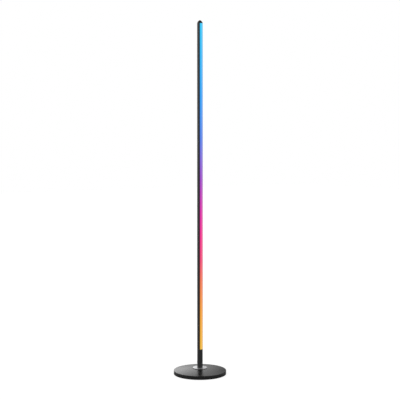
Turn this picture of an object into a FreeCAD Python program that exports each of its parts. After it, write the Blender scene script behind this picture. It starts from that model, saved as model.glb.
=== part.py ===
import FreeCAD, Part
import math
import os

# Corner floor lamp: a slim round pole with a light strip along its front, on a crowned round base.
# Millimetres, +Z up. The origin is on the floor under the pole's axis.
# The light strip faces -Y, and the power inlet is at the back, +Y.

V = FreeCAD.Vector

# ---------------------------------------------------------------- driving dimensions

# Base
base_radius = 104.5
cover_edge_gap = 0.4          # from the floor to the cover's lower edge
cover_wall_height = 14.1      # the straight side wall
crown_rise = 9.0              # from the top of the side wall up to the ring's seat
cover_thickness = 1.5
rim_bevel = 2.0
seat_radius = 30.0            # flat middle of the crown, under the ring
crown_steps = 2               # the crown is turned as narrow cones

# Weight that fills the cover, and its pads
weight_height = 2.0           # from the floor to the weight's underside
weight_gap = 1.0              # between the weight and the crown, but at the seat
bolt_well_radius = 16.0
bolt_well_depth = 11.0
pad_count = 4
pad_radius = 8.0
pad_inset = 4.5               # from the weight's edge to the pads

# Bright ring under the pole
ring_radius = 29.0
ring_thickness = 2.0

# Pole: one outside diameter from the ring to the cap
pole_radius = 11.0
foot_length = 74.0
foot_wall = 1.5
section_count = 3
section_length = 429.3
profile_wall = 1.4
mouth_half_width = 6.62       # half of the light channel's opening
shelf_front = 1.6             # from the pole's axis forward to the face that carries the lights
shelf_thickness = 1.4
tray_ridge_width = 0.7
tray_ridge_height = 0.9
key_width = 2.0               # rib on the back of the bore that lines up what slides in
key_height = 1.1
lip_round = 0.35

# Cap
cap_height = 12.6
cap_land = 0.6                # straight edge that meets the profile
cap_fullness = 1.6            # 1 would be a cone and 2 an ellipse
cap_steps = 4
cap_spigot_length = 16.0

# Diffuser
diffuser_wall = 1.6
diffuser_leg = 1.2
diffuser_hook_thickness = 1.1
diffuser_hook_reach = 1.1     # how far the hook goes behind the channel's lip

# Light strip
strip_width = 10.0
strip_board_thickness = 0.35
strip_end_gap = 1.0
led_size = 5.0
led_height = 1.6
led_pitch = 16.6667
first_led = 14.0              # from the strip's lower end

# Bolt through the base, M10
bolt_radius = 5.0
bolt_length = 25.0
bolt_head_across_flats = 17.0
bolt_head_height = 6.4
bolt_flange_radius = 11.0
bolt_flange_thickness = 2.0
plug_height = 12.0

# Connectors inside the pole
foot_spigot_length = 20.0
spigot_length = 40.0
lead_hole_width = 5.6
lead_hole_depth = 3.0
board_slot_depth = 2.0

# Power inlet at the back of the foot tube
jack_height = 20.0            # above the ring
jack_flange_radius = 5.5
jack_flange_proud = 1.5
jack_barrel_radius = 4.0
jack_barrel_inside = 12.0     # from the tube's wall inward
jack_socket_radius = 3.0
jack_socket_depth = 9.5
jack_pin_radius = 1.05
jack_pin_short = 1.5          # how far the pin stays back from the mouth
jack_nut_across_flats = 11.0
jack_nut_thickness = 2.2
jack_tag_length = 2.5
jack_tag_width = 1.6
jack_tag_thickness = 0.5
jack_tag_offset = 1.6

# Control board in the foot tube
board_width = 15.0
board_thickness = 1.0
board_back = 2.0              # from the pole's axis back to the board's front face
board_above_jack = 8.0
chip_margin = 1.0             # from the board's edges
chip_width = 3.6
chip_height = 5.0
chip_thickness = 1.6
radio_height = 8.0
radio_thickness = 2.2

# Flat leads
lead_thickness = 1.0
jack_lead_width = 4.4
strip_lead_width = 4.0
lead_bend = 2.0
lead_run = 3.0                # straight end that is soldered down
strip_lead_entry = 1.0        # straight length just under the connector
strip_lead_slant = 5.0        # height in which it crosses from the board to the hole
strip_lead_exit = 1.5         # straight length past the strip's lower end
strip_lead_solder = 4.5       # straight end on the light strip

# Clearances
hole_clearance = 0.3
fit_clearance = 0.2
weight_clearance = 0.4
mouth_clearance = 0.1

# ---------------------------------------------------------------- levels and places that follow

rim_z = cover_edge_gap + cover_wall_height
seat_z = rim_z + crown_rise
ring_top = seat_z + ring_thickness
strip_bottom = ring_top + foot_length
strip_length = section_count * section_length
strip_top = strip_bottom + strip_length
total_height = strip_top + cap_height

cover_inner_radius = base_radius - cover_thickness
weight_radius = cover_inner_radius - weight_clearance
pad_circle = weight_radius - pad_inset - pad_radius
well_top = weight_height + bolt_well_depth
bolt_head_top = well_top - bolt_flange_thickness

foot_bore = pole_radius - foot_wall
profile_bore = pole_radius - profile_wall
shelf_back = shelf_front - shelf_thickness
strip_face = shelf_front + strip_board_thickness
connector_bottom = strip_bottom - foot_spigot_length
jack_z = ring_top + jack_height
jack_inner_end = foot_bore - jack_barrel_inside
board_bottom = jack_z + board_above_jack
board_top = connector_bottom + board_slot_depth
lead_hole_front = -strip_face - lead_hole_depth


# ---------------------------------------------------------------- helpers

def cylinder(radius, height, base=V(0, 0, 0), axis=V(0, 0, 1)):
    return Part.makeCylinder(radius, height, base, axis)


def centred_box(width, depth, height, x, y, z):
    """A box centred on x and y, standing on z."""
    return Part.makeBox(width, depth, height, V(x - width / 2, y - depth / 2, z))


def hexagon(across_flats, height, base, axis):
    corner = across_flats / math.sqrt(3)
    prism = Part.Face(Part.makePolygon([
        V(corner * math.cos(math.radians(60 * i)), corner * math.sin(math.radians(60 * i)), 0)
        for i in range(7)
    ])).extrude(V(0, 0, height))
    prism.Placement = FreeCAD.Placement(base, FreeCAD.Rotation(V(0, 0, 1), axis))
    return prism


def turned(outline):
    """A solid of revolution about Z from a closed outline in the XZ plane."""
    return Part.Face(outline).revolve(V(0, 0, 0), V(0, 0, 1), 360)


def disc_face(radius):
    return Part.Face(Part.Wire(Part.makeCircle(radius)))


def rectangle_face(left, right, front, back):
    """A flat rectangle in the XY plane, from -Y at the front to +Y at the back."""
    return Part.makePlane(right - left, back - front, V(left, front, 0))


def raised(face, bottom, height):
    solid = face.extrude(V(0, 0, height))
    solid.translate(V(0, 0, bottom))
    return solid


def around(shape, count):
    """Copies of a shape, evenly spaced about Z."""
    copies = []
    for i in range(count):
        copy = shape.copy()
        copy.rotate(V(0, 0, 0), V(0, 0, 1), 360 * i / count)
        copies.append(copy)
    return copies


def upright_edges_near(shape, places, reach):
    """The edges along Z that pass within reach of the given places in plan."""
    found = []
    for edge in shape.Edges:
        first, last = edge.Vertexes[0].Point, edge.Vertexes[-1].Point
        if abs(first.x - last.x) + abs(first.y - last.y) > 1e-6:
            continue
        if any(math.hypot(first.x - x, first.y - y) < reach for x, y in places):
            found.append(edge)
    return found


def flat_lead(points, width):
    """A flat lead of straight runs joined by tangent bends. Its points lie in the YZ plane."""
    across = V(1, 0, 0)

    def section(place, along):
        edge = along.cross(across) * lead_thickness
        corner = place - across * width / 2 - edge / 2
        steps = [V(0, 0, 0), across * width, across * width + edge, edge, V(0, 0, 0)]
        return Part.Face(Part.makePolygon([corner + step for step in steps]))

    pieces = []
    start = points[0]
    for before, corner, after in zip(points, points[1:], points[2:]):
        arriving = (corner - before).normalize()
        leaving = (after - corner).normalize()
        turn = arriving.getAngle(leaving)
        setback = lead_bend * math.tan(turn / 2)
        first = corner - arriving * setback
        pieces.append(section(start, arriving).extrude(first - start))
        axis = arriving.cross(leaving).normalize()
        centre = first + axis.cross(arriving) * lead_bend
        pieces.append(section(first, arriving).revolve(centre, axis, math.degrees(turn)))
        start = corner + leaving * setback
    last_run = points[-1] - start
    pieces.append(section(start, V(last_run).normalize()).extrude(last_run))
    return pieces[0].fuse(pieces[1:]).removeSplitter()


# ---------------------------------------------------------------- base

def crown_sphere():
    """Centre height and radius of the sphere that the crown follows."""
    edge_radius = base_radius - rim_bevel
    centre_z = rim_z + (seat_radius ** 2 + crown_rise ** 2 - edge_radius ** 2) / (2 * crown_rise)
    return centre_z, math.hypot(edge_radius, rim_z - centre_z)


def crown_height(radius, depth):
    """Height of the crown at a distance from the axis, or of a surface at a depth below it."""
    centre_z, sphere = crown_sphere()
    return centre_z + math.sqrt((sphere - depth) ** 2 - radius ** 2)


def crowned_disc(depth):
    """The cover's outline, set in by a depth: a wall, a bevelled rim, a crown and a flat seat."""
    radius = base_radius - depth
    edge_radius = base_radius - rim_bevel
    outline = [
        V(0, 0, cover_edge_gap),
        V(radius, 0, cover_edge_gap),
        V(radius, 0, rim_z - rim_bevel),
    ]
    for step in range(crown_steps):
        across = edge_radius + (seat_radius - edge_radius) * step / crown_steps
        outline.append(V(across, 0, crown_height(across, depth)))
    outline.append(V(seat_radius, 0, seat_z - depth))
    outline.append(V(0, 0, seat_z - depth))
    return turned(Part.makePolygon(outline + [outline[0]]))


def base_cover():
    """Pressed steel cover with the crown that the pole's ring sits on."""
    hole = cylinder(bolt_radius + hole_clearance, seat_z)
    return crowned_disc(0).cut(crowned_disc(cover_thickness)).cut(hole)


def base_weight():
    """Casting that fills the cover, with a boss that carries the clamping load."""
    top = crown_height(weight_radius, cover_thickness) - weight_gap
    boss_height = seat_z - cover_thickness - weight_height
    disc = cylinder(weight_radius, top - weight_height, V(0, 0, weight_height))
    boss = cylinder(ring_radius, boss_height, V(0, 0, weight_height))
    well = cylinder(bolt_well_radius, bolt_well_depth, V(0, 0, weight_height))
    hole = cylinder(bolt_radius + hole_clearance, boss_height, V(0, 0, weight_height))
    return disc.fuse(boss).cut([well, hole]).removeSplitter()


def foot_pads():
    """Soft round pads between the weight and the floor."""
    return around(cylinder(pad_radius, weight_height, V(pad_circle, 0, 0)), pad_count)


def foot_ring():
    """Bright turned ring between the crown and the pole."""
    ring = cylinder(ring_radius, ring_thickness, V(0, 0, seat_z))
    return ring.cut(cylinder(bolt_radius + hole_clearance, ring_thickness, V(0, 0, seat_z)))


def pole_bolt():
    """Hexagon bolt with a flange, which pulls the pole down onto the base."""
    head = hexagon(bolt_head_across_flats, bolt_head_height,
                   V(0, 0, bolt_head_top - bolt_head_height), V(0, 0, 1))
    flange = cylinder(bolt_flange_radius, bolt_flange_thickness, V(0, 0, bolt_head_top))
    shank = cylinder(bolt_radius, bolt_length, V(0, 0, bolt_head_top + bolt_flange_thickness))
    return head.fuse([flange, shank])


# ---------------------------------------------------------------- foot of the pole

def foot_tube():
    """Plain tube that lifts the light strip clear of the base."""
    tube = cylinder(pole_radius, foot_length, V(0, 0, ring_top))
    bore = cylinder(foot_bore, foot_length, V(0, 0, ring_top))
    jack_hole = cylinder(jack_barrel_radius, pole_radius, V(0, 0, jack_z), V(0, 1, 0))
    return tube.cut([bore, jack_hole])


def foot_plug():
    """Threaded plug in the tube's lower end, for the bolt."""
    plug = cylinder(foot_bore, plug_height, V(0, 0, ring_top))
    return plug.cut(cylinder(bolt_radius, plug_height, V(0, 0, ring_top)))


def power_jack():
    """Round low-voltage inlet: a saddle flange outside, a barrel, a socket and its pin."""
    outer_end = pole_radius + jack_flange_proud
    back = V(0, 1, 0)
    flange = cylinder(jack_flange_radius, outer_end, V(0, 0, jack_z), back)
    flange = flange.cut(cylinder(pole_radius, 2 * outer_end, V(0, 0, jack_z - outer_end)))
    barrel = cylinder(jack_barrel_radius, outer_end - jack_inner_end,
                      V(0, jack_inner_end, jack_z), back)
    socket = cylinder(jack_socket_radius, jack_socket_depth,
                      V(0, outer_end - jack_socket_depth, jack_z), back)
    pin = cylinder(jack_pin_radius, jack_socket_depth - jack_pin_short,
                   V(0, outer_end - jack_socket_depth, jack_z), back)
    tags = [
        centred_box(jack_tag_width, jack_tag_length, jack_tag_thickness,
                    side * jack_tag_offset, jack_inner_end - jack_tag_length / 2, jack_z)
        for side in (-1, 1)
    ]
    return flange.fuse(barrel).cut(socket).fuse([pin] + tags).removeSplitter()


def jack_nut_back():
    """How far back the nut's outer face can go before its corners meet the tube's bore."""
    return math.sqrt(foot_bore ** 2 - (jack_nut_across_flats / math.sqrt(3)) ** 2)


def power_jack_nut():
    front = V(0, jack_nut_back() - jack_nut_thickness, jack_z)
    nut = hexagon(jack_nut_across_flats, jack_nut_thickness, front, V(0, 1, 0))
    return nut.cut(cylinder(jack_barrel_radius, jack_nut_thickness, front, V(0, 1, 0)))


def control_board():
    """Circuit board on edge in the foot tube, its top held in the connector's slot."""
    return centred_box(board_width, board_thickness, board_top - board_bottom,
                       0, board_back + board_thickness / 2, board_bottom)


def control_board_parts():
    """A radio module on one side of the board, two power transistors on the other."""
    column = board_width / 2 - chip_margin - chip_width / 2
    first = board_bottom + chip_margin
    parts = [
        (-column, first, radio_height, radio_thickness),
        (column, first, chip_height, chip_thickness),
        (column, first + chip_height + chip_margin, chip_height, chip_thickness),
    ]
    return Part.makeCompound([
        centred_box(chip_width, thickness, height, x, board_back - thickness / 2, bottom)
        for x, bottom, height, thickness in parts
    ])


def jack_leads():
    """Flat two-core lead from the inlet's tags up to the board's lower edge."""
    tag_y = jack_inner_end - jack_tag_length + lead_thickness / 2
    tag_z = jack_z + jack_tag_thickness
    board_y = board_back - lead_thickness / 2
    return flat_lead([
        V(0, tag_y, tag_z),
        V(0, tag_y, tag_z + lead_run),
        V(0, board_y, board_bottom),
        V(0, board_y, board_bottom + lead_run),
    ], jack_lead_width)


def strip_leads():
    """Flat three-core lead from the board, through the connector, to the strip's lower end."""
    board_y = board_back - lead_thickness / 2
    strip_y = -strip_face - lead_thickness / 2
    hole_y = (lead_hole_front - strip_face) / 2
    slant_start = connector_bottom - strip_lead_entry - strip_lead_slant
    crossing_end = strip_bottom + strip_lead_exit + lead_run
    return flat_lead([
        V(0, board_y, slant_start - lead_run),
        V(0, board_y, slant_start),
        V(0, hole_y, slant_start + strip_lead_slant),
        V(0, hole_y, strip_bottom + strip_lead_exit),
        V(0, strip_y, crossing_end),
        V(0, strip_y, crossing_end + strip_lead_solder),
    ], strip_lead_width)


# ---------------------------------------------------------------- lit part of the pole

def profile_section():
    """Outline of the extrusion: round outside, a light channel, a shelf and a D-shaped bore."""
    tray_edge = strip_width / 2 + fit_clearance
    bore = disc_face(profile_bore)
    channel = bore.common(rectangle_face(-pole_radius, pole_radius, -pole_radius, -shelf_front))
    mouth = rectangle_face(-mouth_half_width, mouth_half_width, -pole_radius, -shelf_front)
    for left in (-tray_edge - tray_ridge_width, tray_edge):
        ridge = rectangle_face(left, left + tray_ridge_width,
                               -shelf_front - tray_ridge_height, -shelf_front)
        channel = channel.cut(ridge)
        mouth = mouth.cut(ridge)
    back = bore.common(rectangle_face(-pole_radius, pole_radius, -shelf_back, pole_radius))
    key = rectangle_face(-key_width / 2, key_width / 2, profile_bore - key_height, pole_radius)
    return disc_face(pole_radius).cut([channel, mouth, back.cut(key)])


def joint_height(index):
    """The joint under the section with this index."""
    return strip_bottom + index * section_length


def profile_piece(index):
    """One length of the pole, the edges of its channel's lips rounded."""
    piece = raised(profile_section(), joint_height(index), section_length)
    lip_y = -math.sqrt(pole_radius ** 2 - mouth_half_width ** 2)
    lips = [(-mouth_half_width, lip_y), (mouth_half_width, lip_y)]
    return piece.makeFillet(lip_round, upright_edges_near(piece, lips, fit_clearance))


def bore_bar(bottom, length):
    """A bar that fills the profile's D-shaped bore, with a groove for the key rib."""
    front = -shelf_back + fit_clearance
    bar = disc_face(profile_bore).common(
        rectangle_face(-pole_radius, pole_radius, front, pole_radius))
    groove = rectangle_face(-key_width / 2 - fit_clearance, key_width / 2 + fit_clearance,
                            profile_bore - key_height - fit_clearance, pole_radius)
    return raised(bar.cut(groove), bottom, length)


def joiner(index):
    """Bar that is pressed into two sections across the joint between them."""
    return bore_bar(joint_height(index) - spigot_length, 2 * spigot_length)


def foot_connector():
    """Die-cast piece that joins the foot tube to the lowest section and passes the lead."""
    spigot = cylinder(foot_bore, foot_spigot_length, V(0, 0, connector_bottom))
    lead_hole = centred_box(lead_hole_width, lead_hole_depth, foot_spigot_length,
                            0, (lead_hole_front - strip_face) / 2, connector_bottom)
    slot = centred_box(board_width, board_thickness, board_slot_depth,
                       0, board_back + board_thickness / 2, connector_bottom)
    body = spigot.fuse(bore_bar(strip_bottom, spigot_length))
    return body.cut([lead_hole, slot]).removeSplitter()


def light_diffuser():
    """Opal strip that closes the channel, flush with the pole, with hooks behind the lips."""
    half_width = mouth_half_width - mouth_clearance
    leg_inside = half_width - diffuser_leg
    hook_outside = mouth_half_width + diffuser_hook_reach
    hook_radius = profile_bore - diffuser_hook_thickness
    leg_end = -math.sqrt(hook_radius ** 2 - half_width ** 2)
    front = rectangle_face(-half_width, half_width, -pole_radius, 0)
    skin = disc_face(pole_radius).cut(disc_face(pole_radius - diffuser_wall)).common(front)
    leg = rectangle_face(leg_inside, half_width, -pole_radius, leg_end)
    leg = leg.common(disc_face(pole_radius))
    hook = rectangle_face(leg_inside, hook_outside, -pole_radius, 0)
    hook = hook.common(disc_face(profile_bore).cut(disc_face(hook_radius)))
    right = [raised(face, strip_bottom, strip_length) for face in (leg, hook)]
    left = [solid.mirror(V(0, 0, 0), V(1, 0, 0)) for solid in right]
    return raised(skin, strip_bottom, strip_length).fuse(right + left).removeSplitter()


def led_strip_board():
    """Flexible board stuck to the shelf between its two ridges."""
    return centred_box(strip_width, strip_board_thickness, strip_length - 2 * strip_end_gap,
                       0, -shelf_front - strip_board_thickness / 2, strip_bottom + strip_end_gap)


def led_chips():
    """Square lights at an even pitch up the strip."""
    first = strip_bottom + strip_end_gap + first_led
    last = strip_top - strip_end_gap - led_size
    count = int((last - first) / led_pitch) + 1
    chips = [
        centred_box(led_size, led_height, led_size, 0, -strip_face - led_height / 2,
                    first + i * led_pitch - led_size / 2)
        for i in range(count)
    ]
    return Part.makeCompound(chips)


def top_cap():
    """Moulded cap: a rounded cone on top, and a spigot that presses into the bore."""
    land_z = strip_top + cap_land
    outline = [V(0, 0, strip_top), V(pole_radius, 0, strip_top)]
    for step in range(cap_steps + 1):
        angle = math.radians(90 * step / cap_steps)
        outline.append(V(pole_radius * math.cos(angle) ** (2 / cap_fullness), 0,
                         land_z + (total_height - land_z) * math.sin(angle) ** (2 / cap_fullness)))
    outline[-1] = V(0, 0, total_height)
    dome = turned(Part.makePolygon(outline + [outline[0]]))
    spigot = bore_bar(strip_top - cap_spigot_length, cap_spigot_length)
    return dome.fuse(spigot).removeSplitter()


# ---------------------------------------------------------------- the nodes

nodes = {
    "base_cover": base_cover(),
    "base_weight": base_weight(),
    "foot_ring": foot_ring(),
    "pole_bolt": pole_bolt(),
    "foot_tube": foot_tube(),
    "foot_plug": foot_plug(),
    "power_jack": power_jack(),
    "power_jack_nut": power_jack_nut(),
    "control_board": control_board(),
    "control_board_parts": control_board_parts(),
    "jack_leads": jack_leads(),
    "strip_leads": strip_leads(),
    "foot_connector": foot_connector(),
    "light_diffuser": light_diffuser(),
    "led_strip_board": led_strip_board(),
    "led_chips": led_chips(),
    "top_cap": top_cap(),
}
for number, pad in enumerate(foot_pads(), start=1):
    nodes["foot_pad_%d" % number] = pad
for index in range(section_count):
    nodes["profile_%d" % (index + 1)] = profile_piece(index)
for index in range(1, section_count):
    nodes["joiner_%d" % index] = joiner(index)

os.makedirs("parts", exist_ok=True)
for name, shape in nodes.items():
    shape.exportStep("parts/%s.step" % name)
    print("%-20s valid %s, solids %d, volume %.1f cm3"
          % (name, shape.isValid(), len(shape.Solids), shape.Volume / 1000))
print("height %.1f mm, light strip %.1f mm" % (total_height, strip_length))
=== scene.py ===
# %% [markdown]
# # A corner floor lamp
# The lamp is a slim round pole on a low crowned base. One strip of the pole is an opal cover over
# coloured lights. The frame brings in the CAD parts in metres, standing on the floor at z = 0,
# with the light strip facing -Y and the power inlet at the back, +Y. This lesson dresses those
# parts: it sets up the camera and a white studio, makes one finish after another, and models each
# piece that the eye can reach with the tools of Blender's edit mode.

# %% Load the frame
import math
import bmesh
import bpy
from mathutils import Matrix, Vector


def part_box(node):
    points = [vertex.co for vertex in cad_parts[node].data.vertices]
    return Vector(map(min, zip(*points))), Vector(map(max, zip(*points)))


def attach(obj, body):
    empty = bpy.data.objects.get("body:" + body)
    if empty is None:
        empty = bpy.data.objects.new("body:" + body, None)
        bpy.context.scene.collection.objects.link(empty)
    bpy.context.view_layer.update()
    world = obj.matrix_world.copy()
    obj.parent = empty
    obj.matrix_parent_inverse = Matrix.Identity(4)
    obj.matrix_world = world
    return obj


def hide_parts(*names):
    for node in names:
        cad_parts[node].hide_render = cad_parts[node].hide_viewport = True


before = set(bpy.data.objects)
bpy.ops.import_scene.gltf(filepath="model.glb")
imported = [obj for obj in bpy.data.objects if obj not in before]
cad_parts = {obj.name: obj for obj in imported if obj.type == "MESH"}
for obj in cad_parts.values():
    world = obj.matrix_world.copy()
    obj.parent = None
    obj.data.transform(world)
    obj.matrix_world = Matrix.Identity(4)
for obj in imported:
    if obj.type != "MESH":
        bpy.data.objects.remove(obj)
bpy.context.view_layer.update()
MM = 0.001
print("CAD nodes:", len(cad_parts))

# %% [markdown]
# ## Camera
# A telephoto view from a standing person's chest height, a few metres away, keeps the pole's sides
# almost parallel. The lamp is turned, so that the strip faces to the right of the camera. The
# azimuth, distance, height and tilt are named, and the camera is put there by plain trigonometry.

# %% Camera
CAMERA_TURN = math.radians(-38.5)
CAMERA_DISTANCE = 3600 * MM
CAMERA_HEIGHT = 884 * MM
CAMERA_TILT = math.radians(3.01)
CAMERA_ROLL = math.radians(0.018)
CAMERA_PAN = math.radians(-0.006)
SENSOR_WIDTH = 36.0
FOCAL_LENGTH = 82.0


def floor_point(distance, turn, height):
    """A place at a distance from the pole, turned from the front of the light strip."""
    return Vector((distance * math.sin(turn), -distance * math.cos(turn), height))


camera_data = bpy.data.cameras.new("camera")
camera_data.sensor_width = SENSOR_WIDTH
camera_data.lens = FOCAL_LENGTH
camera = bpy.data.objects.new("camera", camera_data)
bpy.context.scene.collection.objects.link(camera)
camera.location = floor_point(CAMERA_DISTANCE, CAMERA_TURN, CAMERA_HEIGHT)
camera.rotation_euler = (math.radians(90) - CAMERA_TILT, CAMERA_ROLL, CAMERA_TURN + CAMERA_PAN)
bpy.context.scene.camera = camera
bpy.context.scene.view_settings.view_transform = "Standard"
print("camera at", [round(value, 3) for value in camera.location])

# %% [markdown]
# ## Colours and nodes
# Colours are written as the hex values that a screen shows, and one function turns them to the
# linear numbers that the shader works in. One more function adds a node: it takes the node's type,
# its settings by name, and what goes into its sockets, either a plain value or another node's
# output. Most finishes differ only in the pattern that makes their colour, roughness and relief
# vary, so three small functions tie a pattern to these three.

# %% Colour and node helpers
def linear(hex_colour):
    """A colour written as on a screen, as the linear RGBA that shaders take."""
    screen = [int(hex_colour[i:i + 2], 16) / 255 for i in (1, 3, 5)]
    rgb = [c / 12.92 if c <= 0.04045 else ((c + 0.055) / 1.055) ** 2.4 for c in screen]
    return (*rgb, 1.0)


def node(tree, kind, settings=None, inputs=None):
    """Adds a node, sets it up, and links or fills its inputs."""
    made = tree.nodes.new(kind)
    for name, value in (settings or {}).items():
        setattr(made, name, value)
    for name, value in (inputs or {}).items():
        if isinstance(value, bpy.types.NodeSocket):
            tree.links.new(value, made.inputs[name])
        else:
            made.inputs[name].default_value = value
    return made


def new_material(name, **sockets):
    """A material whose shader has these values on its own sockets."""
    material = bpy.data.materials.new(name)
    material.use_nodes = True
    shader = material.node_tree.nodes["Principled BSDF"]
    for socket, value in sockets.items():
        shader.inputs[socket.replace("_", " ")].default_value = value
    return material, material.node_tree, shader


def vary_colour(shader, pattern, dark, light, first=0.0, last=1.0):
    """Lets a pattern lead the colour from one tone to another, between two of its values."""
    tree = shader.id_data
    tone = node(tree, "ShaderNodeValToRGB", None, {"Fac": pattern})
    for stop, place, colour in zip(tone.color_ramp.elements, (first, last), (dark, light)):
        stop.position = place
        stop.color = linear(colour)
    tree.links.new(tone.outputs["Color"], shader.inputs["Base Color"])


def vary_roughness(shader, pattern, low, high):
    """Lets a pattern lead the roughness from low to high."""
    tree = shader.id_data
    haze = node(tree, "ShaderNodeMapRange", None, {
        "Value": pattern, "To Min": low, "To Max": high})
    tree.links.new(haze.outputs["Result"], shader.inputs["Roughness"])


def add_relief(shader, pattern, strength, depth):
    """Lets a pattern raise the surface by a depth in millimetres."""
    tree = shader.id_data
    bump = node(tree, "ShaderNodeBump", None, {
        "Height": pattern, "Strength": strength, "Distance": depth * MM})
    tree.links.new(bump.outputs["Normal"], shader.inputs["Normal"])


print("mid grey in linear:", [round(c, 4) for c in linear("#808080")[:3]])

# %% [markdown]
# ## Studio
# The lamp stands in a white studio. To the camera the floor and the world are plain white. Every
# other ray meets a grey floor, which keeps the lamp's soft shadow, and a world that is a soft
# dome. Black enamel shows little but the room in it, so the dome shapes what is seen on the base:
# behind the lamp it is dim at the horizon, brightest a quarter of the way up, and brighter to the
# left than to the right. Both sides are bright as well, so that the pole's edges show against its
# dark middle.

# %% Floor
FLOOR_SIZE = 30.0
FLOOR_GLOW = 0.88
FLOOR_IN_GLOSS = 0.09

bpy.ops.object.select_all(action="DESELECT")
bpy.ops.mesh.primitive_plane_add(size=FLOOR_SIZE, location=(0, 0, 0))
floor = bpy.context.object
floor.name = "studio_floor"
floor_paint, tree, shader = new_material(
    "studio_floor_paint", Base_Color=linear("#7c7c7c"), Roughness=0.9, Specular_IOR_Level=0.1)
path = node(tree, "ShaderNodeLightPath")
seen = node(tree, "ShaderNodeMath", {"operation": "MULTIPLY"},
            {0: path.outputs["Is Camera Ray"], 1: FLOOR_GLOW})
mirrored = node(tree, "ShaderNodeMath", {"operation": "MAXIMUM"},
                {0: path.outputs["Is Glossy Ray"], 1: path.outputs["Is Transmission Ray"]})
strength = node(tree, "ShaderNodeMath", {"operation": "MULTIPLY_ADD"},
                {0: mirrored.outputs[0], 1: FLOOR_IN_GLOSS, 2: seen.outputs[0]})
glow = node(tree, "ShaderNodeEmission", None,
            {"Color": (1, 1, 1, 1), "Strength": strength.outputs[0]})
both = node(tree, "ShaderNodeAddShader", None, {0: shader.outputs[0], 1: glow.outputs[0]})
tree.links.new(both.outputs[0], tree.nodes["Material Output"].inputs["Surface"])
floor.data.materials.append(floor_paint)
print("floor glow to the camera:", FLOOR_GLOW)

# %% Soft dome
FRONT_LIGHT = 0.35
SIDE_LIGHT = 1.30
HORIZON_LIGHT = 0.46
UPPER_LIGHT = 1.20
ZENITH_LIGHT = 0.50
LEFT_TO_RIGHT = 0.88
LEFT_TO_RIGHT_ABOVE = 0.2 * LEFT_TO_RIGHT
RISING = (-3, 20)
FALLING = (27, 62)
EVENING_OUT = (18, 38)
HALF_ACROSS = math.sin(math.radians(7))
ASIDE = (0.4, 1.0)
BEHIND = (0.35, 0.75)

world = bpy.data.worlds.new("studio_dome")
world.use_nodes = True
bpy.context.scene.world = world
tree = world.node_tree


def fade(value, first, last, start, end):
    """A value that passes smoothly from start to end as another goes from first to last."""
    made = node(tree, "ShaderNodeMapRange", {"interpolation_type": "SMOOTHSTEP"}, {
        "Value": value, "From Min": first, "From Max": last, "To Min": start, "To Max": end})
    return made.outputs["Result"]


direction = node(tree, "ShaderNodeTexCoord")
turned = node(tree, "ShaderNodeVectorRotate", {"rotation_type": "Z_AXIS"}, {
    "Vector": direction.outputs["Generated"], "Angle": -CAMERA_TURN})
axes = node(tree, "ShaderNodeSeparateXYZ", None, {"Vector": turned.outputs["Vector"]})
sideways, away, upward = axes.outputs["X"], axes.outputs["Y"], axes.outputs["Z"]


def fade_up(span, start, end):
    """A value that passes from start to end between two elevations in degrees."""
    first, last = [math.sin(math.radians(degrees)) for degrees in span]
    return fade(upward, first, last, start, end)


rising = fade_up(RISING, HORIZON_LIGHT, UPPER_LIGHT)
falling = fade_up(FALLING, 0.0, ZENITH_LIGHT - UPPER_LIGHT)
middle = node(tree, "ShaderNodeMath", {"operation": "ADD"}, {0: rising, 1: falling})
lean = fade_up(EVENING_OUT, LEFT_TO_RIGHT, LEFT_TO_RIGHT_ABOVE)
across = node(tree, "ShaderNodeMapRange", None, {
    "Value": sideways, "From Min": -HALF_ACROSS, "From Max": HALF_ACROSS,
    "To Min": 1.0, "To Max": -1.0})
share = node(tree, "ShaderNodeMath", {"operation": "MULTIPLY_ADD"},
             {0: across.outputs["Result"], 1: lean, 2: 1.0})
behind = node(tree, "ShaderNodeMath", {"operation": "MULTIPLY"},
              {0: share.outputs[0], 1: middle.outputs[0]})
distance_aside = node(tree, "ShaderNodeMath", {"operation": "ABSOLUTE"}, {0: sideways})
before = fade(distance_aside.outputs[0], *ASIDE, FRONT_LIGHT, SIDE_LIGHT)
dome = node(tree, "ShaderNodeMix", {"data_type": "FLOAT"}, {
    0: fade(away, *BEHIND, 0.0, 1.0), 2: before, 3: behind.outputs[0]})
path = node(tree, "ShaderNodeLightPath")
ambient = tree.nodes["Background"]
tree.links.new(dome.outputs[0], ambient.inputs["Strength"])
ambient.inputs["Color"].default_value = (1, 1, 1, 1)
backdrop = node(tree, "ShaderNodeBackground", None, {"Color": (1, 1, 1, 1), "Strength": 1.0})
split = node(tree, "ShaderNodeMixShader", None, {
    0: path.outputs["Is Camera Ray"], 1: ambient.outputs[0], 2: backdrop.outputs[0]})
tree.links.new(split.outputs[0], tree.nodes["World Output"].inputs["Surface"])
print("dome light from the horizon to the zenith:", HORIZON_LIGHT, UPPER_LIGHT, ZENITH_LIGHT)

# %% [markdown]
# A large soft box at the front left lights the room as a window would. The dome alone shapes the
# reflections, so the box is left out of them.

# %% Soft box
FRONT_BOX_POWER = 60
FRONT_BOX_TURN = math.radians(-40)
FRONT_BOX_DISTANCE = 4.0
FRONT_BOX_HEIGHT = 2.6
FRONT_BOX_SIZE = 2.0
AIM_HEIGHT = 0.5


def soft_box(name, distance, turn, height, size, watts):
    """A square lamp at a distance and height in metres that faces the pole."""
    light = bpy.data.lights.new(name, "AREA")
    light.size = size
    light.energy = watts
    box = bpy.data.objects.new(name, light)
    bpy.context.scene.collection.objects.link(box)
    box.location = floor_point(distance, turn, height)
    aim = Vector((0, 0, AIM_HEIGHT)) - box.location
    box.rotation_euler = aim.to_track_quat("-Z", "Y").to_euler()
    box.visible_camera = False
    box.visible_glossy = False


soft_box("front_box", FRONT_BOX_DISTANCE, CAMERA_TURN + FRONT_BOX_TURN, FRONT_BOX_HEIGHT,
         FRONT_BOX_SIZE, FRONT_BOX_POWER)
print("soft box power:", FRONT_BOX_POWER)

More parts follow.
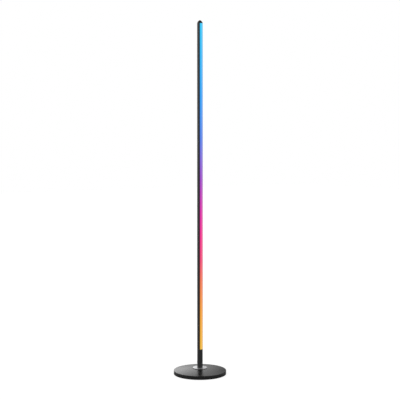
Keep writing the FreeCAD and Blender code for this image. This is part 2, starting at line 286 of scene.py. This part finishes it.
# %% [markdown]
# ## Ways of making a piece
# Most pieces of this lamp were turned, spun or pressed round, so they are made as on a lathe: a
# single point is drawn along half of the outline with extrude, and the outline is spun about Z.
# The extrusions are drawn as a closed outline in plan, filled, and raised with extrude.

# %% Outline helpers
MERGE_DISTANCE = 0.001 * MM
NEAR = 0.01


def begin(name):
    """A new mesh piece with nothing in it yet, open in edit mode."""
    bpy.ops.object.select_all(action="DESELECT")
    bpy.ops.mesh.primitive_plane_add(size=MM)
    piece = bpy.context.object
    piece.name = name
    piece.data.name = name
    bpy.ops.object.mode_set(mode="EDIT")
    bpy.ops.mesh.select_mode(type="VERT")
    bpy.ops.mesh.delete(type="VERT")
    return piece


def draw_outline(points, closed=True):
    """Adds one point and extrudes it along an outline, in metres."""
    bpy.ops.mesh.select_all(action="DESELECT")
    bpy.ops.mesh.primitive_plane_add(size=MM)
    bpy.ops.mesh.merge(type="CENTER")
    bpy.ops.transform.translate(value=points[0])
    onward = points[1:] + points[:1] if closed else points[1:]
    for before, after in zip(points, onward):
        step = Vector(after) - Vector(before)
        bpy.ops.mesh.extrude_vertices_move(TRANSFORM_OT_translate={"value": step})
    bpy.ops.mesh.select_all(action="SELECT")
    bpy.ops.mesh.remove_doubles(threshold=MERGE_DISTANCE)


def close_edit(piece, smooth_angle=30):
    """Merges doubles, turns the faces outward and smooths all but the sharp edges."""
    bpy.ops.mesh.select_all(action="SELECT")
    bpy.ops.mesh.remove_doubles(threshold=MERGE_DISTANCE)
    bpy.ops.mesh.normals_make_consistent(inside=False)
    bpy.ops.object.mode_set(mode="OBJECT")
    bpy.ops.object.shade_smooth_by_angle(angle=math.radians(smooth_angle))
    return piece


def select_edges(piece, wanted):
    """In edit mode, selects the edges whose two ends, in millimetres, pass a test."""
    mesh = bmesh.from_edit_mesh(piece.data)
    bpy.ops.mesh.select_mode(type="EDGE")
    bpy.ops.mesh.select_all(action="DESELECT")
    found = [e for e in mesh.edges if wanted(*(v.co / MM for v in e.verts))]
    for edge in found:
        edge.select_set(True)
    bmesh.update_edit_mesh(piece.data)
    return len(found)


def turn_piece(name, outline, steps=128, smooth_angle=30):
    """Spins an outline of (radius, height) in millimetres about Z. One from the axis stays open."""
    piece = begin(name)
    points = [(radius * MM, 0, height * MM) for radius, height in outline]
    draw_outline(points, closed=outline[0][0] > 0)
    bpy.ops.mesh.select_all(action="SELECT")
    bpy.ops.mesh.spin(steps=steps, angle=2 * math.pi, center=(0, 0, 0), axis=(0, 0, 1))
    return close_edit(piece, smooth_angle)


def raise_piece(name, outlines, bottom, top, smooth_angle=30):
    """Fills an outline of (x, y) in millimetres, with its holes, and raises it."""
    piece = begin(name)
    for outline in outlines:
        draw_outline([(x * MM, y * MM, bottom * MM) for x, y in outline])
    bpy.ops.mesh.select_all(action="SELECT")
    bpy.ops.mesh.fill()
    bpy.ops.mesh.select_all(action="SELECT")
    bpy.ops.mesh.extrude_region_move(
        TRANSFORM_OT_translate={"value": (0, 0, (top - bottom) * MM)})
    return close_edit(piece, smooth_angle)


def rounded(corner, toward, away, radius, steps):
    """Points of a round of this radius that joins two directions at a corner, in millimetres."""
    corner, toward, away = Vector(corner), Vector(toward).normalized(), Vector(away).normalized()
    half_angle = toward.angle(away) / 2
    setback = radius / math.tan(half_angle)
    centre = corner + (toward + away).normalized() * (radius / math.sin(half_angle))
    first = (corner + toward * setback - centre).normalized()
    last = (corner + away * setback - centre).normalized()
    return [tuple(centre + radius * first.slerp(last, i / steps)) for i in range(steps + 1)]


def place_piece(piece, x, y, z):
    """Moves a finished piece by millimetres and keeps its place in its mesh."""
    piece.location = (x * MM, y * MM, z * MM)
    bpy.ops.object.transform_apply(location=True, rotation=True, scale=True)
    return piece


def copy_piece(piece, name, x, y, z):
    """A copy with a mesh of its own, moved by millimetres."""
    bpy.ops.object.select_all(action="DESELECT")
    piece.select_set(True)
    bpy.context.view_layer.objects.active = piece
    bpy.ops.object.duplicate(linked=False)
    copy = bpy.context.object
    copy.name = name
    copy.data.name = name
    return place_piece(copy, x, y, z)


def dress(piece, material, *nodes_replaced, slot):
    """Gives a piece its finish, and lets it stand for its CAD nodes."""
    piece.data.materials.clear()
    piece.data.materials.append(material)
    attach(piece, "root")
    if nodes_replaced:
        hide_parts(*nodes_replaced)
    print(piece.name, "faces:", len(piece.data.polygons))


def box_mm(cad_node):
    """Lowest and highest corner of a CAD node in millimetres."""
    low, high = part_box(cad_node)
    return Vector(low) / MM, Vector(high) / MM

# %% [markdown]
# ## Base cover
# The cover is pressed from steel sheet: a straight wall, a rounded rim and a low crown up to a
# flat seat under the ring. The crown follows a sphere, so its points come from the sphere's
# formula, and the inside is the same outline set in by the sheet's thickness.

# %% Black enamel
def black_enamel():
    """Baked enamel on steel: a soft gloss over a black that gives back very little."""
    material, tree, shader = new_material("baked_black_enamel", IOR=1.5)
    place = node(tree, "ShaderNodeTexCoord")
    cloud = node(tree, "ShaderNodeTexNoise", None,
                 {"Vector": place.outputs["Object"], "Scale": 1 / (25 * MM), "Detail": 3.0})
    vary_colour(shader, cloud.outputs["Fac"], "#0f0f10", "#141415")
    vary_roughness(shader, cloud.outputs["Fac"], 0.24, 0.30)
    ripple = node(tree, "ShaderNodeTexNoise", None,
                  {"Vector": place.outputs["Object"], "Scale": 1 / (2.5 * MM), "Detail": 1.0})
    add_relief(shader, ripple.outputs["Fac"], 0.08, 0.01)
    return material


enamel = black_enamel()
print("finish:", enamel.name)

# %% Turn the cover
COVER_SHEET = 1.5
RIM_ROUND = 0.9
CROWN_RISE = 8.6
SEAT_RADIUS = 30.0
RIM_POINTS = 8
CROWN_POINTS = 24
BOLT_HOLE = 5.3

cover_low, cover_high = box_mm("base_cover")
cover_radius = cover_high.x
crown_edge = cover_radius - RIM_ROUND
seat_height = cover_high.z
rim_height = seat_height - CROWN_RISE
crown_sum = SEAT_RADIUS ** 2 + CROWN_RISE ** 2 - crown_edge ** 2
sphere_centre = rim_height + crown_sum / (2 * CROWN_RISE)
sphere_radius = math.hypot(crown_edge, rim_height - sphere_centre)


def cover_outline(depth):
    """Wall, rim and crown from the floor edge to the bolt's hole, set in by a depth."""
    outline = [(cover_radius - depth, cover_low.z)]
    for i in range(RIM_POINTS + 1):
        angle = math.radians(90 * i / RIM_POINTS)
        outline.append((crown_edge + (RIM_ROUND - depth) * math.cos(angle),
                        rim_height - RIM_ROUND + (RIM_ROUND - depth) * math.sin(angle)))
    for i in range(1, CROWN_POINTS + 1):
        across = crown_edge + (SEAT_RADIUS - crown_edge) * i / CROWN_POINTS
        rise = math.sqrt((sphere_radius - depth) ** 2 - across ** 2)
        outline.append((across, sphere_centre + rise))
    outline[-1] = (SEAT_RADIUS, seat_height - depth)
    return outline + [(BOLT_HOLE, seat_height - depth)]


both_sides = cover_outline(0) + cover_outline(COVER_SHEET)[::-1]
cover = turn_piece("cover_pressed", both_sides, steps=192, smooth_angle=20)
dress(cover, enamel, "base_cover", slot="black_enamel")

# %% [markdown]
# ## Bright ring
# A turned steel ring covers the joint of pole and base. A lathe leaves fine rings on its flat top,
# which soften the light in it, so the finish has rings at a real pitch. The ring's edge is broken
# by a small bevel and cut in below, so that it is dark between the bright top and the base.

# %% Bright steel
RING_PITCH = 0.8
WAVE_PERIOD = 0.31


def bright_steel():
    """Turned bright steel: a metal with fine rings about its axis."""
    material, tree, shader = new_material("turned_bright_steel", Metallic=1.0)
    place = node(tree, "ShaderNodeTexCoord")
    rings = node(tree, "ShaderNodeTexWave",
                 {"wave_type": "RINGS", "rings_direction": "Z", "wave_profile": "SIN"},
                 {"Vector": place.outputs["Object"], "Scale": WAVE_PERIOD / (RING_PITCH * MM),
                  "Distortion": 0.4})
    vary_colour(shader, rings.outputs["Fac"], "#d3d3d5", "#e5e5e7")
    vary_roughness(shader, rings.outputs["Fac"], 0.42, 0.50)
    add_relief(shader, rings.outputs["Fac"], 0.2, 0.01)
    return material


steel = bright_steel()

# %% Turn the ring
RING_BEVEL = 0.2
RING_UNDERCUT = 1.0
ring_low, ring_high = box_mm("foot_ring")
inward = (-RING_UNDERCUT, 0, ring_low.z - ring_high.z)
edge = rounded((ring_high.x, 0, ring_high.z), inward, (-1, 0, 0), RING_BEVEL, 4)
ring_outline = [(ring_high.x - RING_UNDERCUT, ring_low.z)] + [(x, z) for x, _, z in edge]
ring_outline += [(BOLT_HOLE, ring_high.z), (BOLT_HOLE, ring_low.z)]
ring = turn_piece("foot_ring_turned", ring_outline, steps=160)
dress(ring, steel, "foot_ring", slot="bright_steel")

# %% [markdown]
# ## Pole
# The foot tube and the three lengths of the pole are aluminium, drawn through a die and anodised
# black. The die leaves faint lines along the pole. The lengths of the lit part share one section:
# round outside, open at the front, with a shelf for the lights and a bore behind it.

# %% Black anodised aluminium
LINE_STRETCH = 0.004


def black_anodised():
    """Anodised extrusion: satin black with faint lines along the pole."""
    material, tree, shader = new_material("black_anodised_aluminium", IOR=1.5)
    place = node(tree, "ShaderNodeTexCoord")
    along = node(tree, "ShaderNodeMapping", None, {
        "Vector": place.outputs["Object"], "Scale": (1.0, 1.0, LINE_STRETCH)})
    lines = node(tree, "ShaderNodeTexNoise", None,
                 {"Vector": along.outputs[0], "Scale": 1 / (0.5 * MM), "Detail": 2.0})
    vary_colour(shader, lines.outputs["Fac"], "#262627", "#303031")
    vary_roughness(shader, lines.outputs["Fac"], 0.34, 0.42)
    add_relief(shader, lines.outputs["Fac"], 0.2, 0.01)
    return material


anodised = black_anodised()

# %% Foot tube
FOOT_WALL = 1.5
SEAM_BEVEL = 0.15
tube_low, tube_high = box_mm("foot_tube")
pole_radius = tube_high.x
bore = pole_radius - FOOT_WALL
tube_outline = [
    (pole_radius, tube_low.z + SEAM_BEVEL),
    (pole_radius, tube_high.z - SEAM_BEVEL),
    (pole_radius - SEAM_BEVEL, tube_high.z),
    (bore, tube_high.z),
    (bore, tube_low.z),
    (pole_radius - SEAM_BEVEL, tube_low.z),
]
tube = turn_piece("foot_tube_drawn", tube_outline, steps=96)
dress(tube, anodised, "foot_tube", slot="black_anodised")

# %% Section of the lit part
PROFILE_WALL = 1.4
MOUTH = 6.62
SHELF_FRONT = -1.6
SHELF_BACK = -0.2
TRAY_HALF = 5.2
RIDGE = (0.7, 0.9)
KEY = (2.0, 1.1)
OUTSIDE_POINTS = 96
CHANNEL_POINTS = 12
BORE_POINTS = 32


def on_circle(radius, first, last, steps):
    """Points of an arc about the axis. Angles are in degrees from +X towards +Y."""
    turns = [math.radians(first + (last - first) * i / steps) for i in range(steps + 1)]
    return [(radius * math.cos(a), radius * math.sin(a)) for a in turns]


def angle_at(radius, y):
    """Angle of the point of the right half of a circle at this y."""
    return math.degrees(math.asin(y / radius))


inside = pole_radius - PROFILE_WALL
lip_angle = -math.degrees(math.acos(MOUTH / pole_radius))
lip_inside_angle = -math.degrees(math.acos(MOUTH / inside))
ridge_outside = TRAY_HALF + RIDGE[0]
shelf_angle = angle_at(inside, SHELF_FRONT)
channel_side = on_circle(inside, lip_inside_angle, shelf_angle, CHANNEL_POINTS) + [
    (ridge_outside, SHELF_FRONT),
    (ridge_outside, SHELF_FRONT - RIDGE[1]),
    (TRAY_HALF, SHELF_FRONT - RIDGE[1]),
    (TRAY_HALF, SHELF_FRONT),
]
outside = on_circle(pole_radius, lip_angle, 180 - lip_angle, OUTSIDE_POINTS)
channel_outline = outside + [(-x, y) for x, y in channel_side] + channel_side[::-1]

key_angle = math.degrees(math.acos(KEY[0] / 2 / inside))
bore_side = on_circle(inside, angle_at(inside, SHELF_BACK), key_angle, BORE_POINTS)
bore_side.append((KEY[0] / 2, inside - KEY[1]))
bore_outline = bore_side + [(-x, y) for x, y in bore_side[::-1]]
print("points of the section:", len(channel_outline), "and", len(bore_outline))

# %% [markdown]
# The section is filled between its two loops and raised to the length of one part. The lips of the
# channel are then rounded, and the outer edge of both ends is broken by a hair, as a saw and a
# deburring tool leave it. That hair is the whole seam between two lengths. One length is made like
# this, and the other two are copies of it.

# %% Raise the three lengths
LIP_ROUND = 0.35
lip_y = -math.sqrt(pole_radius ** 2 - MOUTH ** 2)


def is_lip(first, last):
    """Whether an edge is one of the channel's two long outer edges."""
    upright = abs(first.x - last.x) + abs(first.y - last.y) < NEAR
    return upright and abs(abs(first.x) - MOUTH) < NEAR and abs(first.y - lip_y) < NEAR


def is_end_rim(first, last):
    """Whether an edge lies on the round outside of either end."""
    level = abs(first.z - last.z) < NEAR
    return level and min(first.xy.length, last.xy.length) > pole_radius - 2 * NEAR


low, high = box_mm("profile_1")
first_length = raise_piece("pole_length_1", [channel_outline, bore_outline], low.z, high.z)
bpy.ops.object.mode_set(mode="EDIT")
print("lip edges:", select_edges(first_length, is_lip))
bpy.ops.mesh.bevel(offset=LIP_ROUND * MM, segments=3, affect="EDGES")
print("rim edges:", select_edges(first_length, is_end_rim))
bpy.ops.mesh.bevel(offset=SEAM_BEVEL * MM, segments=1, affect="EDGES")
close_edit(first_length)

joints = [box_mm("profile_%d" % number)[0].z for number in (1, 2, 3)]
lengths = [first_length]
for number in (2, 3):
    rise = joints[number - 1] - joints[0]
    lengths.append(copy_piece(first_length, "pole_length_%d" % number, 0, 0, rise))
for number, length in enumerate(lengths, start=1):
    dress(length, anodised, "profile_%d" % number, slot="black_anodised")

# %% [markdown]
# ## Lit strip
# The strip is extruded opal acrylic, lit from behind by coloured lights that fade from one colour
# to the next. The cover spreads the light, so no single light shows: the colour runs smoothly from
# blue at the top, through violet and pink, to amber at the foot, and it is paler along the middle,
# over the lights. The colours stand at heights in millimetres on one ramp along Z.

# %% Opal cover
STRIP_COLOURS = [
    (99.5, "#e9b330"),      # amber
    (250.0, "#ec9a28"),     # orange
    (376.0, "#ea6f49"),     # coral
    (456.0, "#ea3c70"),     # rose
    (550.0, "#ec1a88"),     # pink
    (640.0, "#d813a0"),     # magenta
    (775.0, "#983cc0"),     # violet
    (932.0, "#4d78e0"),     # periwinkle
    (1089.0, "#1d99ee"),    # azure
    (1387.4, "#20c1f0"),    # sky blue
]
STRIP_HALF_WIDTH = 6.52
MIDDLE_GLOW = 0.085


def opal_light():
    """Opal acrylic with coloured light behind it."""
    material, tree, shader = new_material(
        "opal_acrylic_lit", IOR=1.49, Specular_IOR_Level=0.25, Emission_Strength=1.04)
    place = node(tree, "ShaderNodeTexCoord")
    axes = node(tree, "ShaderNodeSeparateXYZ", None, {"Vector": place.outputs["Object"]})
    bottom, top = STRIP_COLOURS[0][0] * MM, STRIP_COLOURS[-1][0] * MM
    along = node(tree, "ShaderNodeMapRange", None, {
        "Value": axes.outputs["Z"], "From Min": bottom, "From Max": top})
    ramp = node(tree, "ShaderNodeValToRGB", None, {"Fac": along.outputs["Result"]})
    ramp.color_ramp.interpolation = "LINEAR"
    stops = ramp.color_ramp.elements
    while len(stops) < len(STRIP_COLOURS):
        stops.new(0.5)
    for stop, (height, colour) in zip(stops, STRIP_COLOURS):
        stop.position = (height * MM - bottom) / (top - bottom)
        stop.color = linear(colour)
    aside = node(tree, "ShaderNodeMath", {"operation": "ABSOLUTE"}, {0: axes.outputs["X"]})
    glow = node(tree, "ShaderNodeMapRange", {"interpolation_type": "SMOOTHSTEP"}, {
        "Value": aside.outputs[0], "From Min": 0.0, "From Max": STRIP_HALF_WIDTH * MM,
        "To Min": MIDDLE_GLOW, "To Max": 0.0})
    paler = node(tree, "ShaderNodeMix", {"data_type": "RGBA"})
    tree.links.new(glow.outputs["Result"], paler.inputs[0])
    tree.links.new(ramp.outputs["Color"], paler.inputs[6])
    paler.inputs[7].default_value = (1, 1, 1, 1)
    shade = node(tree, "ShaderNodeMix", {"data_type": "RGBA", "blend_type": "MULTIPLY"})
    shade.inputs[0].default_value = 1.0
    tree.links.new(ramp.outputs["Color"], shade.inputs[6])
    shade.inputs[7].default_value = linear("#404040")
    grain = node(tree, "ShaderNodeTexNoise", None,
                 {"Vector": place.outputs["Object"], "Scale": 1 / (1.5 * MM), "Detail": 2.0})
    vary_roughness(shader, grain.outputs["Fac"], 0.38, 0.48)
    tree.links.new(paler.outputs[2], shader.inputs["Emission Color"])
    tree.links.new(shade.outputs[2], shader.inputs["Base Color"])
    return material


opal = opal_light()

# %% Raise the cover
SKIN = 1.6
LEG = 1.2
HOOK = (1.1, 1.1)
FACE_POINTS = 16
SKIN_POINTS = 12
HOOK_POINTS = 3
strip_low, strip_high = box_mm("light_diffuser")
hook_inside = inside - HOOK[0]
hook_tip = MOUTH + HOOK[1]
skin_inside = pole_radius - SKIN
leg_inside = STRIP_HALF_WIDTH - LEG


def front_angle(radius, x):
    """Angle of the point at the front of a circle, on the right, at this x."""
    return -math.degrees(math.acos(x / radius))


strip_side = on_circle(pole_radius, -90, front_angle(pole_radius, STRIP_HALF_WIDTH), FACE_POINTS)
strip_side += on_circle(inside, front_angle(inside, STRIP_HALF_WIDTH),
                        front_angle(inside, hook_tip), HOOK_POINTS)
strip_side += on_circle(hook_inside, front_angle(hook_inside, hook_tip),
                        front_angle(hook_inside, STRIP_HALF_WIDTH), HOOK_POINTS)
strip_side.append((leg_inside, strip_side[-1][1]))
strip_side += on_circle(skin_inside, front_angle(skin_inside, leg_inside), -90, SKIN_POINTS)
strip_left = [(-x, y) for x, y in strip_side[-2:0:-1]]
strip_outline = strip_side + strip_left
strip = raise_piece("light_cover_extruded", [strip_outline], strip_low.z, strip_high.z,
                    smooth_angle=40)
dress(strip, opal, "light_diffuser", slot="opal_diffuser")

# %% [markdown]
# ## Cap
# The cap is a moulded rounded cone. Its outline is a superellipse, between a cone and a dome, so
# it is drawn from that formula. A moulding tool leaves a fine even grain.

# %% Black moulded plastic
def black_abs():
    """Moulded ABS: a soft black with a fine grain."""
    material, tree, shader = new_material("moulded_black_abs", IOR=1.52)
    place = node(tree, "ShaderNodeTexCoord")
    grain = node(tree, "ShaderNodeTexNoise", None,
                 {"Vector": place.outputs["Object"], "Scale": 1 / (0.6 * MM), "Detail": 2.0})
    vary_colour(shader, grain.outputs["Fac"], "#111112", "#1b1b1c")
    vary_roughness(shader, grain.outputs["Fac"], 0.30, 0.42)
    add_relief(shader, grain.outputs["Fac"], 0.3, 0.02)
    return material


abs_plastic = black_abs()

# %% Turn the cap
CAP_LAND = 0.6
CAP_FULLNESS = 1.6
CAP_POINTS = 32
cap_low, cap_high = box_mm("top_cap")
cap_seat = box_mm("profile_3")[1].z
land_top = cap_seat + CAP_LAND
power = 2 / CAP_FULLNESS
cap_outline = [(0, cap_seat), (pole_radius - SEAM_BEVEL, cap_seat)]
cap_outline.append((pole_radius, cap_seat + SEAM_BEVEL))
for i in range(CAP_POINTS):
    angle = math.radians(90 * i / CAP_POINTS)
    cap_outline.append((pole_radius * math.cos(angle) ** power,
                        land_top + (cap_high.z - land_top) * math.sin(angle) ** power))
cap_outline.append((0, cap_high.z))
cap = turn_piece("cap_moulded", cap_outline, steps=96, smooth_angle=40)
dress(cap, abs_plastic, "top_cap", slot="black_plastic")

# %% [markdown]
# The cap is held by a spigot that is pressed into the bore of the uppermost length. It has the
# bore's own section, set in by a hair, with a slot for the rib.

# %% Raise the spigot
FIT = 0.2
HAIR = 0.05
spigot_radius = inside - HAIR
slot_half = KEY[0] / 2 + FIT
slot_angle = math.degrees(math.acos(slot_half / spigot_radius))
flat_angle = angle_at(spigot_radius, SHELF_BACK + FIT)
spigot_side = on_circle(spigot_radius, flat_angle, slot_angle, BORE_POINTS)
spigot_side.append((slot_half, spigot_radius - KEY[1] - FIT))
spigot_outline = spigot_side + [(-x, y) for x, y in spigot_side[::-1]]
spigot = raise_piece("cap_spigot", [spigot_outline], cap_low.z, cap_seat)
dress(spigot, abs_plastic, slot="black_plastic")

# %% [markdown]
# ## Power inlet
# A round moulded inlet stands out of the back of the foot tube. It takes a barrel plug: a flange,
# a deep socket and a plated pin in the middle. It is turned like the rest, upright on the floor,
# and then laid on its side and lifted to its place.

# %% Black nylon
def black_nylon():
    """Glass-filled nylon: deep matt black with a fine speckle."""
    material, tree, shader = new_material("moulded_black_nylon", IOR=1.53)
    place = node(tree, "ShaderNodeTexCoord")
    speckle = node(tree, "ShaderNodeTexVoronoi", {"feature": "F1"},
                   {"Vector": place.outputs["Object"], "Scale": 1 / (0.4 * MM)})
    vary_colour(shader, speckle.outputs["Distance"], "#1c1c1d", "#101011")
    vary_roughness(shader, speckle.outputs["Distance"], 0.45, 0.60)
    add_relief(shader, speckle.outputs["Distance"], 0.3, 0.01)
    return material


nylon = black_nylon()

# %% Zinc-plated steel
ROUGHNESS_SPREAD = 0.06


def plated_steel(name, dark, light, roughness):
    """Zinc plate: a metal with cloudy crystals a few millimetres across."""
    material, tree, shader = new_material(name, Metallic=1.0)
    place = node(tree, "ShaderNodeTexCoord")
    crystals = node(tree, "ShaderNodeTexVoronoi", {"feature": "F1"},
                    {"Vector": place.outputs["Object"], "Scale": 1 / (2.5 * MM)})
    cloud = node(tree, "ShaderNodeTexNoise", None,
                 {"Vector": place.outputs["Object"], "Scale": 1 / (1.2 * MM), "Detail": 3.0})
    both = node(tree, "ShaderNodeMath", {"operation": "MULTIPLY"},
                {0: crystals.outputs["Distance"], 1: cloud.outputs["Fac"]})
    vary_colour(shader, both.outputs[0], dark, light)
    vary_roughness(shader, cloud.outputs["Fac"],
                   roughness - ROUGHNESS_SPREAD, roughness + ROUGHNESS_SPREAD)
    return material


zinc = plated_steel("zinc_plated_steel", "#8f9194", "#b9bbbd", 0.34)

# %% Turn the inlet
SOCKET_RADIUS = 3.0
SOCKET_DEPTH = 9.5
PIN_RADIUS = 1.05
PIN_SHORT = 1.5
PIN_BEVEL = 0.4
BARREL_RADIUS = 4.0
MOUTH_BEVEL = 0.3
FLANGE_ROUND = 0.6
TAG_LENGTH = 2.5
inlet_low, inlet_high = box_mm("power_jack")
inlet_height = (inlet_low.z + inlet_high.z) / 2
inlet_radius = inlet_high.x
face = inlet_high.y
floor_of_socket = face - SOCKET_DEPTH
flange_foot = math.sqrt(bore ** 2 - inlet_radius ** 2)
inlet_outline = [
    (0, floor_of_socket),
    (SOCKET_RADIUS, floor_of_socket),
    (SOCKET_RADIUS, face - MOUTH_BEVEL),
    (SOCKET_RADIUS + MOUTH_BEVEL, face),
]
inlet_outline += [(x, y) for x, _, y in rounded(
    (inlet_radius, 0, face), (-1, 0, 0), (0, 0, -1), FLANGE_ROUND, 5)]
inlet_outline += [
    (inlet_radius, flange_foot),
    (BARREL_RADIUS, flange_foot),
    (BARREL_RADIUS, inlet_low.y + TAG_LENGTH),
    (0, inlet_low.y + TAG_LENGTH),
]
pin_tip = face - PIN_SHORT
pin_outline = [
    (0, floor_of_socket),
    (PIN_RADIUS, floor_of_socket),
    (PIN_RADIUS, pin_tip - PIN_BEVEL),
    (PIN_RADIUS - PIN_BEVEL, pin_tip),
    (0, pin_tip),
]


def lay_on_back(piece, height):
    """Turns a piece from upright to pointing out of the back of the pole, at a height."""
    piece.rotation_euler = (math.radians(-90), 0, 0)
    return place_piece(piece, 0, 0, height)


inlet = lay_on_back(turn_piece("inlet_moulded", inlet_outline, steps=48), inlet_height)
dress(inlet, nylon, "power_jack", slot="black_nylon")
pin = lay_on_back(turn_piece("inlet_pin", pin_outline, steps=24), inlet_height)
dress(pin, zinc, slot="zinc_steel")

# %% [markdown]
# ## Small screws at the back
# The joiners inside the pole are pressed in and held by small button-headed screws, which such
# poles have at the back, where they don't show. One head is turned, its socket is pushed in by
# inset and extrude, as far out as the corners of its key, and copies are set along the back.

# %% Screws
SCREW_RADIUS = 2.6
SCREW_RISE = 0.9
SCREW_SINK = 0.5
SEATED = 0.15
KEY_FLATS = 2.0
SOCKET_DROP = 0.7
SCREW_OFFSET = 22.0
FOOT_SCREW_DROP = 10.0

key_corner = KEY_FLATS / math.sqrt(3)
head_curve = [(SCREW_RADIUS * math.cos(math.radians(a)),
               SCREW_SINK + SCREW_RISE * math.sin(math.radians(a))) for a in range(0, 61, 15)]
head_outline = [(0, 0), (SCREW_RADIUS, 0)] + head_curve + [(0, head_curve[-1][1])]


def is_flat_top(mesh_face, top):
    """Whether a face lies level at this height."""
    return mesh_face.normal.z > 0.99 and mesh_face.calc_center_median().z / MM > top - NEAR


def screw_head(name, height):
    """A button head with a socket, standing on the back of the pole."""
    piece = turn_piece(name, head_outline, steps=24)
    bpy.ops.object.mode_set(mode="EDIT")
    bpy.ops.mesh.select_mode(type="FACE")
    bpy.ops.mesh.select_all(action="DESELECT")
    mesh = bmesh.from_edit_mesh(piece.data)
    for flat in mesh.faces:
        flat.select_set(is_flat_top(flat, head_curve[-1][1]))
    bmesh.update_edit_mesh(piece.data)
    bpy.ops.mesh.dissolve_faces()
    bpy.ops.mesh.inset(thickness=(head_curve[-1][0] - key_corner) * MM)
    bpy.ops.mesh.extrude_region_move(TRANSFORM_OT_translate={"value": (0, 0, -SOCKET_DROP * MM)})
    close_edit(piece)
    place_piece(piece, 0, 0, pole_radius - SCREW_SINK - SEATED)
    return lay_on_back(piece, height)


screw_heights = [joints[0] - FOOT_SCREW_DROP, joints[0] + SCREW_OFFSET]
for joint in joints[1:]:
    screw_heights += [joint - SCREW_OFFSET, joint + SCREW_OFFSET]
screws = [screw_head("joint_screw_1", screw_heights[0])]
for number, height in enumerate(screw_heights[1:], start=2):
    rise = height - screw_heights[0]
    screws.append(copy_piece(screws[0], "joint_screw_%d" % number, 0, 0, rise))
for screw in screws:
    dress(screw, zinc, slot="zinc_steel")

# %% [markdown]
# ## Underside
# Four soft pads of foam rubber keep the cast weight off the floor. Each is a low disc with a
# softened edge, and three are copies of the first. The weight keeps its CAD shape and gets the
# pitted grey of primed cast iron.

# %% Foam rubber
def foam_rubber():
    """Closed-cell foam: matt black with pores under a millimetre wide."""
    material, tree, shader = new_material("black_foam_rubber", IOR=1.5)
    place = node(tree, "ShaderNodeTexCoord")
    pores = node(tree, "ShaderNodeTexVoronoi", {"feature": "F1"},
                 {"Vector": place.outputs["Object"], "Scale": 1 / (0.8 * MM)})
    vary_colour(shader, pores.outputs["Distance"], "#131313", "#262626")
    vary_roughness(shader, pores.outputs["Distance"], 0.95, 0.80)
    add_relief(shader, pores.outputs["Distance"], 0.5, 0.05)
    return material


foam = foam_rubber()

# %% Turn the pads
PAD_EDGE = 0.5
pad_boxes = [box_mm("foot_pad_%d" % number) for number in (1, 2, 3, 4)]
pad_low, pad_high = pad_boxes[0]
pad_radius = (pad_high.x - pad_low.x) / 2
edge = rounded((pad_radius, 0, 0), (-1, 0, 0), (0, 0, 1), PAD_EDGE, 4)
pad_outline = [(0, 0)] + [(x, z) for x, _, z in edge]
pad_outline += [(pad_radius, pad_high.z), (0, pad_high.z)]
centres = [(low + high) / 2 for low, high in pad_boxes]
pads = [turn_piece("pad_foam_1", pad_outline, steps=48)]
place_piece(pads[0], centres[0].x, centres[0].y, 0)
for number, centre in enumerate(centres[1:], start=2):
    step = centre - centres[0]
    pads.append(copy_piece(pads[0], "pad_foam_%d" % number, step.x, step.y, 0))
for number, pad in enumerate(pads, start=1):
    dress(pad, foam, "foot_pad_%d" % number, slot="pad_rubber")

# %% Cast iron
def cast_iron():
    """Sand-cast iron under primer: grey, with a sandy pitted skin."""
    material, tree, shader = new_material("primed_cast_iron", IOR=1.5)
    place = node(tree, "ShaderNodeTexCoord")
    sand = node(tree, "ShaderNodeTexNoise", None,
                {"Vector": place.outputs["Object"], "Scale": 1 / (0.9 * MM), "Detail": 4.0})
    patches = node(tree, "ShaderNodeTexNoise", None,
                   {"Vector": place.outputs["Object"], "Scale": 1 / (18 * MM), "Detail": 2.0})
    vary_colour(shader, patches.outputs["Fac"], "#4c4c4d", "#5d5d5c", 0.35, 0.65)
    vary_roughness(shader, sand.outputs["Fac"], 0.70, 0.90)
    add_relief(shader, sand.outputs["Fac"], 0.6, 0.15)
    return material


def finish_nodes(material, *names):
    """Gives CAD nodes that keep their shape their finish."""
    for name in names:
        for material_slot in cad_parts[name].material_slots:
            material_slot.material = material
    print(material.name, "on", names)


finish_nodes(cast_iron(), "base_weight")
finish_nodes(zinc, "pole_bolt", "foot_plug", "power_jack_nut")

# %% [markdown]
# ## Inside the pole
# What is inside keeps its CAD shape too, and gets the finish that it has on a real lamp: plain
# aluminium for the joiners, a green board with black parts, flat red leads, and a white flexible
# board that carries the lights.

# %% Finishes of the inner parts
def plain_finish(name, dark, light, grain_mm, roughness, metallic=0.0, stretch=1.0):
    """A finish whose colour and gloss wander between two tones, grain by grain."""
    material, tree, shader = new_material(name, Metallic=metallic)
    place = node(tree, "ShaderNodeTexCoord")
    along = node(tree, "ShaderNodeMapping", None, {
        "Vector": place.outputs["Object"], "Scale": (1.0, 1.0, stretch)})
    grain = node(tree, "ShaderNodeTexNoise", None,
                 {"Vector": along.outputs[0], "Scale": 1 / (grain_mm * MM), "Detail": 3.0})
    vary_colour(shader, grain.outputs["Fac"], dark, light)
    vary_roughness(shader, grain.outputs["Fac"],
                   roughness - ROUGHNESS_SPREAD, roughness + ROUGHNESS_SPREAD)
    return material


finish_nodes(plain_finish("mill_finish_aluminium", "#b9babb", "#d2d3d4", 0.5, 0.4, 1.0, 0.02),
             "foot_connector", "joiner_1", "joiner_2")
finish_nodes(plain_finish("green_solder_mask", "#155c36", "#1f7346", 3.0, 0.35), "control_board")
finish_nodes(nylon, "control_board_parts")
finish_nodes(plain_finish("red_pvc_insulation", "#a61c18", "#b92a22", 4.0, 0.45),
             "jack_leads", "strip_leads")
finish_nodes(plain_finish("white_flexible_board", "#e6e5df", "#f1f0ec", 5.0, 0.4),
             "led_strip_board")
finish_nodes(plain_finish("light_package_resin", "#efe9c8", "#f6f2da", 1.0, 0.3), "led_chips")
